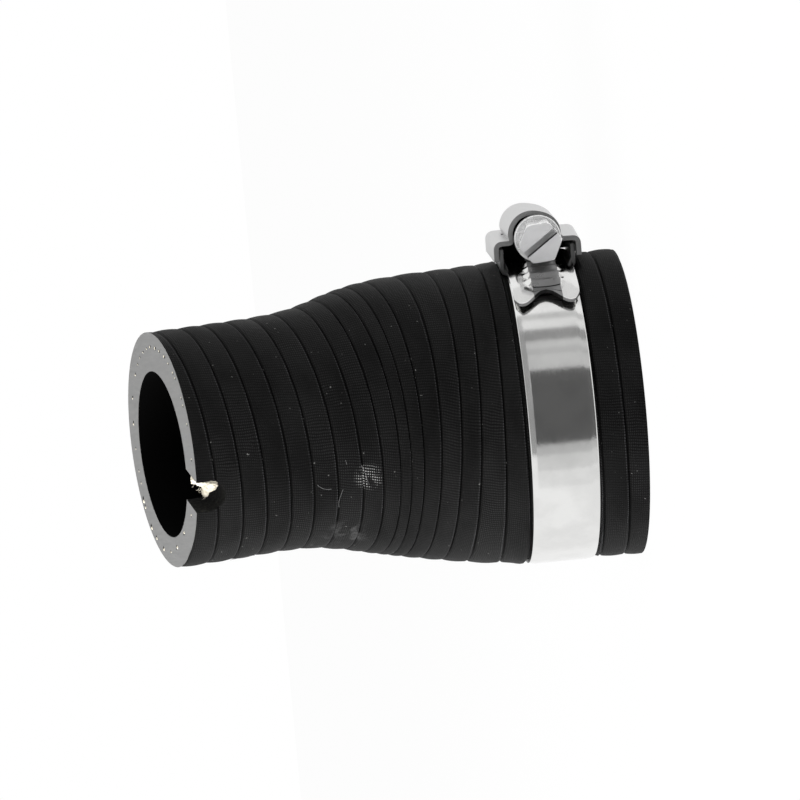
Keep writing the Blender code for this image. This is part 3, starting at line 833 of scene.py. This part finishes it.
def strip_radius(angle):
    """Inside radius of the strip: a first turn, a rise, then the overlapping tail."""
    if angle < RISE_END:
        climbed = ease((angle - RISE_START) / (RISE_END - RISE_START))
        return BAND_RADIUS + (TAIL_RADIUS - BAND_RADIUS) * climbed
    free = max(angle - 2 * math.pi - HALF_SPAN, 0) / (TAIL_END - 2 * math.pi - HALF_SPAN)
    return TAIL_RADIUS + TAIL_LIFT * free ** 1.5


print("strip", strip_columns, "columns,", teeth, "louvres")

# %% [markdown]
# Across its width each edge of the strip is bent down a little, so it mirrors another part of
# the room. The tail's last stretch is pressed into saw-shaped louvres for the worm, which has
# rubbed their faces dull. Its end was cropped in a wave and stands off the band below.

# %% Louvres and the cropped end
LOBE, LOBE_HOLLOW, LOBE_CORNER = 4.5, 2.9 * MM, 1.7 * MM
SAW_RISE, SAW_FALL, LOUVRE_REACH, LOUVRE_SLOPE = 0.72, 0.28, 3.5 * MM, 1.2 * MM


def wave(height):
    """How far the cropped end stays behind its two lobes."""
    out = abs(height - 0.15 * MM) / MM
    if out < LOBE:
        return LOBE_HOLLOW * (math.cos(math.pi * out / LOBE) + 1) / 2
    return LOBE_CORNER * ((out - LOBE) / 1.5) ** 2


def louvre(length, height):
    """Height of the saw-shaped teeth, measured from the tail's tip; their ends slope down."""
    saw = length / TOOTH_PITCH % 1
    rise = saw / SAW_RISE if saw < SAW_RISE else (1 - saw) / SAW_FALL
    return LOUVRE_HEIGHT * rise * min(max((LOUVRE_REACH - abs(height)) / LOUVRE_SLOPE, 0), 1)


def strip_place(column, row):
    height = across_band[row]
    start = TAIL_END - TOOTHED_TURN
    if column <= PLAIN_COLUMNS:
        angle = FIXED_END + (start - FIXED_END) * column / PLAIN_COLUMNS
    else:
        angle = start + TOOTHED_TURN * (column - PLAIN_COLUMNS) / (strip_columns - PLAIN_COLUMNS)
    to_end = (TAIL_END - angle) * TAIL_RADIUS
    back = wave(height) * max(1 - to_end / NEAR_END, 0)
    if column > PLAIN_COLUMNS:
        back += LOUVRE_BOW * min(abs(height) / (3.4 * MM), 1) ** 2 * min(to_end / PLAIN_TIP, 1)
    edge = max(abs(height) - (BAND_WIDTH / 2 - EDGE_ZONE), 0) / EDGE_ZONE
    radius = strip_radius(angle) + BAND_THICKNESS / 2 - EDGE_DROP * edge
    if column > PLAIN_COLUMNS and to_end > PLAIN_TIP:
        radius += louvre(to_end - PLAIN_TIP, height)
    return on_clamp(radius, angle - back / TAIL_RADIUS, height)


print("across the strip", len(across_band), "points")

# %% [markdown]
# The louvres' middles are found while the grid is still flat, because a face's column and row
# can then be read off its place. Then it is bent, thickened and given soft edges.

# %% Clamp strip
RUBBED_MIDDLE, RUBBED_REACH, SHADED_FOOT = 0.4 * MM, 2.6 * MM, 0.14


def rub_louvres(obj):
    """Give the louvres' middles the rubbed finish, and their feet dark steel as painted shade."""
    for face in obj.data.polygons:
        column = (face.center.x + 0.5) * strip_columns
        height = across_band[math.floor((face.center.y + 0.5) * (len(across_band) - 1))]
        if column > PLAIN_COLUMNS and abs(height + RUBBED_MIDDLE) < RUBBED_REACH:
            to_end = (strip_columns - column) * TOOTH_PITCH / PER_TOOTH
            foot = (to_end - PLAIN_TIP) / TOOTH_PITCH % 1 < SHADED_FOOT
            face.material_index = 3 if foot else 2


strip = grid("clamp_strip", strip_columns, len(across_band) - 1)
give(strip, "rolled_steel", "sheet_edge", "rubbed_steel", "painted_shade_steel")
rub_louvres(strip)
bend_grid(strip, strip_columns, len(across_band) - 1, strip_place)
modifier(strip, "SOLIDIFY", thickness=BAND_THICKNESS, offset=0, material_offset_rim=1)
merge(strip, 1e-7)
bevel(strip, 0.1 * MM)
smooth(settle(strip, "clamp_strip"), 24)
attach(strip, "hose")
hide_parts("clamp_band")
print("strip", len(strip.data.polygons), "faces")

# %% [markdown]
# The housing is one pressing: a dome over the worm, a soft fillet at its foot, and a shoulder
# each side that turns over and down. Its profile across the strip is a list of points from the
# dome's top to the shoulder's lip, mirrored for the other side.

# %% The housing's profile
DOME_RADIUS, DOME_BACK_RADIUS = 3.98 * MM, 3.85 * MM
SHEET = 0.9 * MM
SHOULDER_TOP, LIP, SHOULDER_REACH = 32.9 * MM, 29.6 * MM, 7.95 * MM
DOME_LIFT, SHOULDER_TAPER = 0.65 * MM, 0.35 * MM
FILLET, SHOULDER_TURN = 1.4 * MM, 1.0 * MM
QUARTER = [math.radians(d) for d in (0, 22, 45, 68, 90)]


def side_profile(radius, centre):
    """Half of the profile: (sideways, outwards, share of the way from dome to shoulder)."""
    foot, turn = SHOULDER_TOP, SHOULDER_TURN
    arc = [(radius * math.sin(a), centre + radius * math.cos(a), 0.0)
           for a in (math.radians(d) for d in range(0, 85, 9))]
    fillet = [(radius + FILLET * (1 - math.cos(a)), foot + FILLET * (1 - math.sin(a)), i / 4)
              for i, a in enumerate(QUARTER)]
    shoulder = [(SHOULDER_REACH - turn + turn * math.sin(a), foot - turn * (1 - math.cos(a)), 1.0)
                for a in QUARTER]
    return arc + fillet + shoulder + [(SHOULDER_REACH, (foot - turn + LIP) / 2, 1.0),
                                      (SHOULDER_REACH, LIP, 1.0)]


half_count = len(side_profile(1, 1))
profile_columns = 2 * half_count - 2
print("profile", profile_columns, "columns")

# %% [markdown]
# A grid carries that profile along the screw, and the back rows draw the dome in until it
# closes. The dome was pressed a little to one side, so it slides over towards its back.

# %% Housing
DOME_ROWS = [y * MM for y in (-6.5, -5.8, -4.8, -3.6, -2.0, 0, 2.0, 3.4, 4.4, 5.2, 5.9, 6.4,
                              6.75, 6.9)]
DOME_FRONT, DOME_BACK, DOME_ROUND = DOME_ROWS[0], DOME_ROWS[-1], 3.6 * MM
SHOULDER_FRONT, SHOULDER_BACK = -6.1 * MM, 6.0 * MM
DOME_SLIDE, NEARLY_CLOSED = 0.9, 0.01


def dome_place(column, row):
    share = (DOME_ROWS[row] - DOME_FRONT) / (DOME_BACK - DOME_FRONT)
    y = DOME_ROWS[row]
    into_round = max(y - (DOME_BACK - DOME_ROUND), 0) / DOME_ROUND
    closing = math.sqrt(max(1 - into_round ** 2, NEARLY_CLOSED))
    radius = DOME_RADIUS + (DOME_BACK_RADIUS - DOME_RADIUS) * share
    centre = SCREW_RADIUS + DOME_LIFT
    side = column - (half_count - 1)
    points = side_profile(radius, centre)
    out, height, blend = points[abs(side)]
    if blend < 1:
        height = SHOULDER_TOP + (height - SHOULDER_TOP) * (closing + (1 - closing) * blend)
        out *= closing + (1 - closing) * blend
    y = y + blend * (SHOULDER_FRONT + share * (SHOULDER_BACK - SHOULDER_FRONT) - y)
    out -= blend * (1 - share) * SHOULDER_TAPER
    out = math.copysign(out, side) if side else 0
    slide = (DOME_SLIDE + DOME_SLIDE * share) * MM * (1 - blend) * ease(1 + out / radius)
    return CLAMP @ Vector((height, y, out + slide))


housing = bent("clamp_housing", profile_columns, len(DOME_ROWS) - 1, dome_place,
               "pressed_steel", "sheet_edge", "painted_shade_steel")
modifier(housing, "SUBSURF", levels=1, render_levels=1, boundary_smooth="PRESERVE_CORNERS")
# The housing's inner side takes the dark steel: painted shade.
modifier(housing, "SOLIDIFY", thickness=SHEET, offset=0, material_offset_rim=1,
         material_offset=2)
merge(housing, 1e-7)
bevel(housing, 0.12 * MM)
smooth(settle(housing, "clamp_housing"), 30)
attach(housing, "hose")
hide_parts("clamp_bridge")
print("housing", len(housing.data.polygons), "faces")

# %% [markdown]
# A back wall closes the pressing behind the worm, in dark steel that is painted shade. It is
# three
# blocks: each entry gives a block's middle and width across the strip and its foot and top, in
# millimetres.

# %% The housing's back wall
WALL_BLOCKS = ((-4.6, 4.4, 29.15, 33.1), (0.7, 8.2, 30.0, 34.2), (4.6, 4.4, 29.15, 33.1))
WALL_PLACE, WALL_SHEET = 4.9 * MM, 0.6 * MM
back_walls = []
for middle, wide, low, top in WALL_BLOCKS:
    bpy.ops.mesh.primitive_cube_add(
        size=1, location=((low + top) / 2 * MM, WALL_PLACE, middle * MM),
        scale=((top - low) * MM, WALL_SHEET, wide * MM))
    back_walls.append(added("housing_back"))
    give(back_walls[-1], "painted_shade_steel")
back_walls = join(back_walls, "housing_back")
modifier(back_walls, "BEVEL", width=0.1 * MM, segments=2)
settle(back_walls, "housing_back", CLAMP)
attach(back_walls, "hose")
print("back wall", len(back_walls.data.polygons), "faces")

# %% [markdown]
# The saddle is the lower pressing. It lies under the strip, bent to the same curve, and a wall
# stands up each side inside the housing's shoulders. A small round stake mark beside the dome
# is where a punch locked the two together.

# %% Saddle and stake mark
SADDLE_FLOOR, WALL_TOP, WALL_REACH = BAND_RADIUS - 0.75 * MM, 31.95 * MM, 6.6 * MM
saddle_half = [(0, SADDLE_FLOOR), (3 * MM, SADDLE_FLOOR), (5.6 * MM, SADDLE_FLOOR),
               (6.3 * MM, SADDLE_FLOOR + 0.25 * MM), (WALL_REACH, SADDLE_FLOOR + 0.9 * MM),
               (WALL_REACH, 29.5 * MM), (WALL_REACH, WALL_TOP)]
SADDLE_ROWS, SADDLE_TURN, SADDLE_SHEET = 8, math.radians(8.6), 0.8 * MM
STAKE_RADIUS, STAKE_PLACE = 0.22 * MM, (SHOULDER_TOP + SHEET / 2 - 0.05 * MM, 1.0 * MM, 5.7 * MM)


def saddle_place(column, row):
    side = column - (len(saddle_half) - 1)
    out, radius = saddle_half[abs(side)]
    angle = SADDLE_TURN * (2 * row / SADDLE_ROWS - 1)
    return on_clamp(radius, angle, math.copysign(out, side))


saddle = bent("clamp_saddle_plate", 2 * len(saddle_half) - 2, SADDLE_ROWS, saddle_place,
              "pressed_steel", "sheet_edge", weld=1e-7)
modifier(saddle, "SOLIDIFY", thickness=SADDLE_SHEET, offset=0, material_offset_rim=1)
bevel(saddle, 0.15 * MM)
smooth(settle(saddle, "clamp_saddle_plate"), 30)
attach(saddle, "hose")
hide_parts("clamp_saddle")

bpy.ops.mesh.primitive_uv_sphere_add(segments=16, ring_count=8, radius=STAKE_RADIUS,
                                     location=STAKE_PLACE)
stake = added("stake_mark")
give(stake, "slot_steel")
settle(stake, "stake_mark", CLAMP)
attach(stake, "hose")
print("saddle", len(saddle.data.polygons), "faces")

# %% [markdown]
# The screw turns in the housing, so all its pieces ride on the screw's body. The head is a
# hexagon whose corners were turned off by a cone, with a slot milled from flat to flat. Behind
# it a round collar meets the housing.

# %% Screw head and collar
HEAD_TURN = math.radians(35.6)
COLLAR_FRONT, HEAD_FRONT = 7.9 * MM, 12.4 * MM
HEAD_FLATS, SLOT_WIDTH, SLOT_DEPTH = 7.0 * MM, 1.25 * MM, 1.4 * MM
HEAD_ROOT, COLLAR_RADIUS, COLLAR_BACK = 0.5 * MM, 4.3 * MM, 6.85 * MM
CROWN_RADIUS, CROWN_FLARE, CROWN_DEPTH = 3.78 * MM, 6 * MM, 8 * MM
SCREW = (CLAMP @ Matrix.Translation((SCREW_RADIUS, 0, 0))
         @ Matrix.Rotation(math.radians(90), 4, "X"))


def face_front(obj):
    """The faces that look along the screw were turned on a lathe, so they are duller."""
    if "faced_steel" not in obj.data.materials:
        obj.data.materials.append(bpy.data.materials["faced_steel"])
    dull = obj.data.materials.find("faced_steel")
    for face in obj.data.polygons:
        if face.normal.z > 0.99 and face.center.z > COLLAR_FRONT - 0.1 * MM:
            face.material_index = dull


bpy.ops.mesh.primitive_cylinder_add(vertices=6, radius=HEAD_FLATS / 2 / math.cos(math.pi / 6),
                                    depth=HEAD_FRONT - COLLAR_FRONT + HEAD_ROOT,
                                    location=(0, 0, (HEAD_FRONT + COLLAR_FRONT - HEAD_ROOT) / 2),
                                    rotation=(0, 0, HEAD_TURN - math.pi / 6))
head = settle(added("screw_head"), "screw_head")
give(head, "plated_steel")
bpy.ops.mesh.primitive_cone_add(vertices=64, radius1=CROWN_RADIUS + CROWN_FLARE,
                                radius2=CROWN_RADIUS, depth=CROWN_DEPTH,
                                location=(0, 0, HEAD_FRONT - CROWN_DEPTH / 2))
crown = added("crown_cone")
give(crown, "plated_steel")
cut(head, crown, "INTERSECT")
bpy.ops.mesh.primitive_cube_add(size=1, location=(0, 0, HEAD_FRONT), rotation=(0, 0, HEAD_TURN),
                                scale=(SLOT_WIDTH, 12 * MM, 2 * SLOT_DEPTH))
mill = added("slot_mill")
give(mill, "slot_steel")
cut(head, mill)
face_front(head)
bevel(head, 0.16 * MM, 3, 28, material=0)
settle(head, "screw_head", SCREW)
smooth(head, 30)

bpy.ops.mesh.primitive_cylinder_add(vertices=96, radius=COLLAR_RADIUS,
                                    depth=COLLAR_FRONT - COLLAR_BACK,
                                    location=(0, 0, (COLLAR_FRONT + COLLAR_BACK) / 2))
collar = added("screw_collar")
give(collar, "plated_steel", "faced_steel")
face_front(collar)
bevel(collar, 0.2 * MM, 3, 30)
smooth(settle(collar, "screw_collar", SCREW), 40)
print("head", len(head.data.polygons), "faces, collar", len(collar.data.polygons), "faces")

# %% [markdown]
# The worm is a tube whose radius rises and falls along a helix. It is a little slimmer than
# the solid's, so that it touches neither the strip nor the housing as it turns.

# %% Worm and neck
WORM_CREST, WORM_DEPTH = WORM_RADIUS - 0.15 * MM, 0.6 * MM
THREAD_HALF, THREAD_FLANK = 0.36, 0.16
NECK_RADIUS, NECK_LENGTH, NECK_PLACE = 1.9 * MM, 2 * MM, 6.4 * MM
WORM_LOW, WORM_HIGH = -3.0 * MM, 5.9 * MM
WORM_COLUMNS, WORM_ROWS = 48, 96


def worm_place(column, row):
    angle = 2 * math.pi * column / WORM_COLUMNS
    along = WORM_LOW + (WORM_HIGH - WORM_LOW) * row / WORM_ROWS
    phase = (along / TOOTH_PITCH + angle / (2 * math.pi)) % 1
    crest = min(max((THREAD_HALF - abs(phase - 0.5)) / THREAD_FLANK, 0), 1)
    radius = WORM_CREST - WORM_DEPTH * (1 - crest)
    return SCREW @ Vector((radius * math.cos(angle), radius * math.sin(angle), along))


# The worm and its neck are painted dark, as painted shade inside the housing.
worm = bent("screw_worm", WORM_COLUMNS, WORM_ROWS, worm_place, "painted_shade_steel")
close_ends(worm)
smooth(settle(worm, "screw_worm"), 35)

bpy.ops.mesh.primitive_cylinder_add(vertices=48, radius=NECK_RADIUS, depth=NECK_LENGTH,
                                    location=(0, 0, NECK_PLACE))
neck = added("screw_neck")
give(neck, "painted_shade_steel")
settle(neck, "screw_neck", SCREW)
for piece in (head, collar, worm, neck):
    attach(piece, "screw")
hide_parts("clamp_screw")
print("screw pieces", [piece.name for piece in (head, collar, worm, neck)])

# %% [markdown]
# The photograph was taken from the side with the hose lying across the picture, so the camera
# is rolled by a quarter turn and a little more. Its place, its roll and its lens come from
# fitting the round ends and the band's edges.

# %% Camera
LENS, SENSOR = 153, 36
CAMERA_PLACE = Vector((-0.86, -629.05, 78.0)) * MM
CAMERA_AIM = Vector((-0.73, 0, 42.2)) * MM
CAMERA_ROLL = math.radians(-95.4)
view = (CAMERA_AIM - CAMERA_PLACE).to_track_quat("-Z", "Y").to_matrix()
view = view @ Matrix.Rotation(CAMERA_ROLL, 3, "Z")
bpy.ops.object.camera_add(location=CAMERA_PLACE, rotation=view.to_euler())
camera = added("camera")
camera.data.lens = LENS
camera.data.sensor_width = SENSOR
camera.data.clip_start, camera.data.clip_end = 0.01, 20
bpy.context.scene.camera = camera
bpy.context.scene.view_settings.view_transform = "Standard"
print("camera", round((CAMERA_PLACE - CAMERA_AIM).length, 3), "m from its aim")

# %% [markdown]
# The world is white where the camera, a mirror or glass looks at it, and a plain level of light
# everywhere else. The floor glows in the same way, so it looks white and still takes a shadow.

# %% World and floor
AMBIENT, FLOOR_GLOW = 0.3, 0.97


def seen_directly():
    """1 where the camera, a mirror or glass looks, and 0 for the light that falls on things."""
    rays = node("LightPath").outputs
    mirror = maths("MAXIMUM", rays["Is Glossy Ray"], rays["Is Transmission Ray"])
    return maths("MAXIMUM", rays["Is Camera Ray"], mirror)


world = bpy.data.worlds.new("pale_room")
world.use_nodes = True
bpy.context.scene.world = world
tree = world.node_tree
background = tree.nodes["Background"]
background.inputs["Color"].default_value = (1, 1, 1, 1)
plug(background.inputs["Strength"], step(seen_directly(), 0, 1, AMBIENT, 1.0))

bpy.ops.mesh.primitive_plane_add(size=8)
floor = added("floor")
floor.visible_glossy = False
shader = finish("pale_floor", grey(0.95), 0.9)
glow = node("Emission", {"Color": (1, 1, 1, 1), "Strength": 1.0})
share = times(seen_directly(), FLOOR_GLOW)
both = node("MixShader", {0: share, 1: shader.outputs[0], 2: glow.outputs[0]})
plug(tree.nodes["Material Output"].inputs["Surface"], both.outputs[0])
give(floor, "pale_floor")
print("floor", tuple(floor.dimensions))

# %% [markdown]
# In the picture the light comes from above, which is the side where the clamp's housing is,
# and a softer one from below lightens the hose's lower side. Large lamps keep both soft.

# %% Lamps
def lamp(name, place, width, power):
    """An area lamp, as wide as it is tall, that faces the middle of the hose."""
    place = Vector(place)
    turn = (CAMERA_AIM - place).to_track_quat("-Z", "Y")
    bpy.ops.object.light_add(type="AREA", location=place, rotation=turn.to_euler())
    made = added(name)
    made.data.size = width
    made.data.energy = power
    made.visible_glossy = False


lamp("high_lamp", (0.55, -0.4, 0.15), 0.5, 4.0)
lamp("low_lamp", (-0.6, -0.14, 0.1), 0.5, 15.0)
lamp("front_lamp", (0.05, -0.7, 0.4), 0.4, 0.8)
print("lamps", [light.name for light in bpy.data.lights])

# %% [markdown]
# Bright steel shows the room. The real band mirrors a dark patch with thin grey stripes above
# it. Here they are cards on a circle round the band that only mirrors see: they give no light,
# cast no shadow and the camera misses them.

# %% Cards for the steel to mirror
CARD_DISTANCE = 1.0


def card(name, low, high, level, bottom=-0.65, top=0.22):
    """A grey card between two angles, from the camera's side up towards +X, and two heights."""
    middle, half = math.radians((low + high) / 2), math.radians((high - low) / 2)
    away = Vector((math.sin(middle), -math.cos(middle), 0))
    place = AXIS + CARD_DISTANCE * away + Vector((0, 0, (bottom + top) / 2))
    bpy.ops.object.select_all(action="DESELECT")
    bpy.ops.mesh.primitive_plane_add(size=1, location=place,
                                     rotation=(-away).to_track_quat("Z", "Y").to_euler())
    made = added(name)
    made.dimensions = (2 * CARD_DISTANCE * math.tan(half), top - bottom, 0)
    shader = finish(name + "_grey", grey(0), 1.0)
    shader.inputs["Emission Color"].default_value = (level, level, level, 1)
    shader.inputs["Emission Strength"].default_value = 1.0
    give(made, name + "_grey")
    made.visible_camera = made.visible_diffuse = made.visible_shadow = False


# The angles are twice those of the band's own normal where the photograph shows each tone.
card("dark_card", -26, 28.5, 0.10)
card("low_card", -34, -26, 0.54)
card("lower_card", -46, -34, 0.72)
card("lowest_card", -60, -46, 0.88)
card("pale_card", 28.5, 40, 0.6)
card("faint_card", 40, 45, 0.5)
card("upper_pale_card", 45, 51, 0.62)
card("stripe_card", 51, 60.5, 0.3)
card("high_card", 60.5, 69, 0.85)
card("high_stripe_card", 69, 74.5, 0.58)
card("tail_card", 84, 104, 0.78)
card("side_card", -34, 75, 0.36, bottom=0.23, top=0.6)
